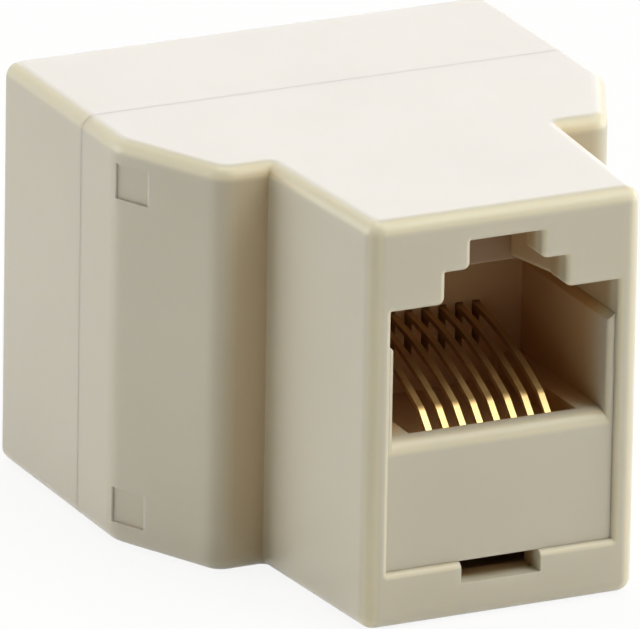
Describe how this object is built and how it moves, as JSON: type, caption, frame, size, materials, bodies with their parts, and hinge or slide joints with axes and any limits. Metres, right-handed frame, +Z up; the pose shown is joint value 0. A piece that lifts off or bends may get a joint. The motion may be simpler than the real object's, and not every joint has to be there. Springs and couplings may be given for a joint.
{
  "type": "ethernet splitter adapter",
  "caption": "Ivory network splitter adapter: a narrow neck with a plug socket widens through slanted flanks to a broad end with sockets side by side, joined inside by a board.",
  "frame": {"origin": "middle of the underside", "axes": "+X across the body, +Y from the single socket at the front to the paired sockets at the rear, +Z up"},
  "size_m": [0.0296, 0.0324, 0.0232],
  "materials": {
    "shell_plastic": "satin moulded",
    "block_plastic": "satin moulded",
    "contact_metal": "gold flashed",
    "board_laminate": "solder mask"
  },
  "bodies": {
    "root": {"front_shell": "shell_plastic", "rear_shell": "shell_plastic", "circuit_board": "board_laminate", "front_contact_block": "block_plastic", "rear_left_contact_block": "block_plastic", "rear_right_contact_block": "block_plastic", "front_contact_1": "contact_metal", "front_contact_2": "contact_metal", "front_contact_3": "contact_metal", "front_contact_4": "contact_metal", "front_contact_5": "contact_metal", "front_contact_6": "contact_metal", "front_contact_7": "contact_metal", "front_contact_8": "contact_metal", "rear_left_contact_1": "contact_metal", "rear_left_contact_2": "contact_metal", "rear_left_contact_3": "contact_metal", "rear_left_contact_4": "contact_metal", "rear_left_contact_5": "contact_metal", "rear_left_contact_6": "contact_metal", "rear_left_contact_7": "contact_metal", "rear_left_contact_8": "contact_metal", "rear_right_contact_1": "contact_metal", "rear_right_contact_2": "contact_metal", "rear_right_contact_3": "contact_metal", "rear_right_contact_4": "contact_metal", "rear_right_contact_5": "contact_metal", "rear_right_contact_6": "contact_metal", "rear_right_contact_7": "contact_metal", "rear_right_contact_8": "contact_metal"}
  },
  "joints": []
}
